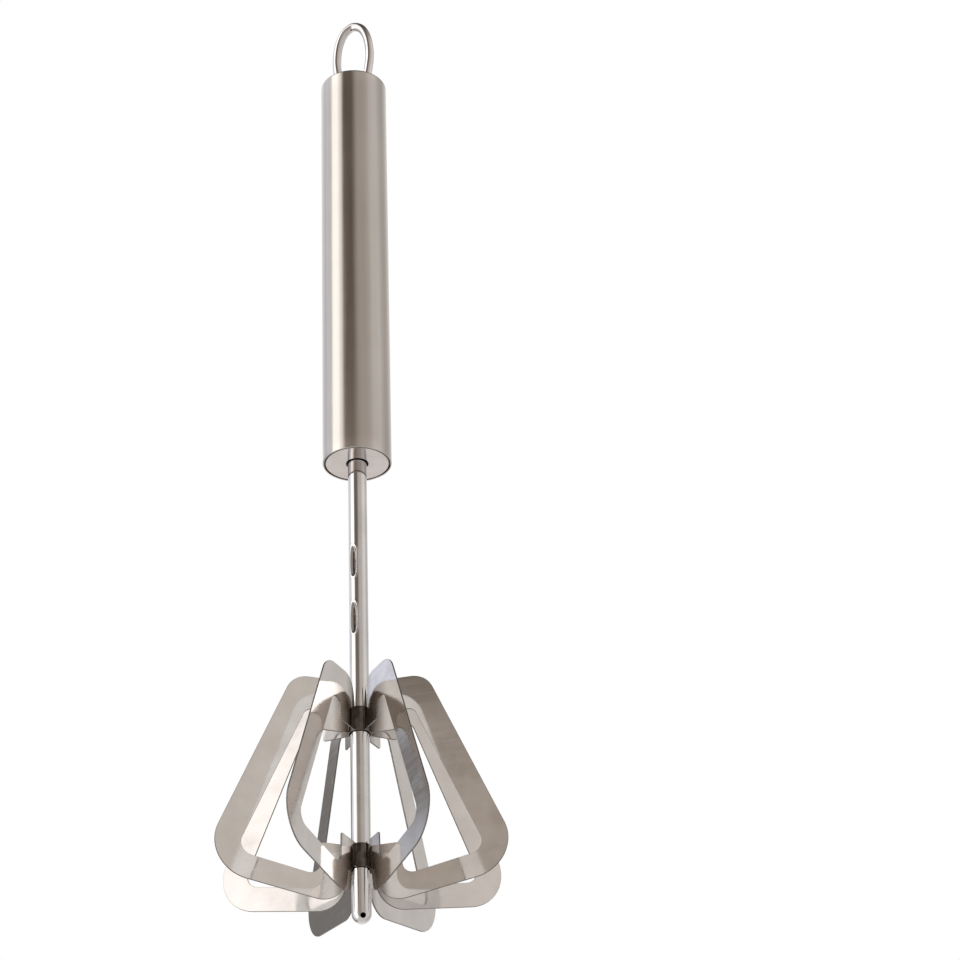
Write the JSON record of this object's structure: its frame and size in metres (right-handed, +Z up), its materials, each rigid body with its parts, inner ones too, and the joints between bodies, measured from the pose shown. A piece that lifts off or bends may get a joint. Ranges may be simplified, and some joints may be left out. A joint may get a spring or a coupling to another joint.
{
  "type": "rotary hand whisk",
  "caption": "Push-down rotary whisk: a tubular steel handle slides on a spindle, and a twisted strip inside spins the sheet-metal leaves.",
  "frame": {"origin": "centre of the small flat at the bottom of the spindle's tip", "axes": "+Z up along the spindle and handle, -Y towards the front, between the two leaves nearest the front"},
  "size_m": [0.0869, 0.0833, 0.3346],
  "materials": {
    "brushed_handle_steel": "satin, brushed along the tube",
    "polished_steel": "polished stainless steel",
    "leaf_steel": "bright rolled stainless sheet with fine handling marks",
    "spring_steel": "drawn spring wire",
    "strip_steel": "rolled strip",
    "black_nylon": "moulded black nylon"
  },
  "bodies": {
    "handle": {"handle_tube": "brushed_handle_steel", "bottom_cap": "polished_steel", "guide_bush": "black_nylon", "top_cap": "polished_steel", "hanging_loop": "polished_steel", "strip_anchor": "black_nylon", "anchor_pin": "spring_steel", "drive_strip": "strip_steel", "return_spring": "spring_steel"},
    "carriage": {"spring_seat": "black_nylon"},
    "spinner": {"stop_collar": "black_nylon", "spindle_tube": "polished_steel", "upper_sleeve": "polished_steel", "lower_sleeve": "polished_steel", "right_leaf_1": "leaf_steel", "right_leaf_2": "leaf_steel", "right_leaf_3": "leaf_steel", "right_leaf_4": "leaf_steel", "left_leaf_1": "leaf_steel", "left_leaf_2": "leaf_steel", "left_leaf_3": "leaf_steel", "left_leaf_4": "leaf_steel"}
  },
  "joints": [
    {"name": "handle_push", "type": "slide", "parent": "handle", "child": "carriage", "axis": [0, 0, 1], "range_m": [0, 0.06], "stiffness_N_per_m": 200, "springref_m": -0.02, "deforming": ["return_spring"]},
    {"name": "head_spin", "type": "hinge", "parent": "carriage", "child": "spinner", "pos_m": [0, 0, 0], "axis": [0, 0, 1], "range_deg": [0, 540]}
  ],
  "couplings": [
    {"joint": "head_spin", "follows": "handle_push", "rad_per_m": 157.07}
  ]
}
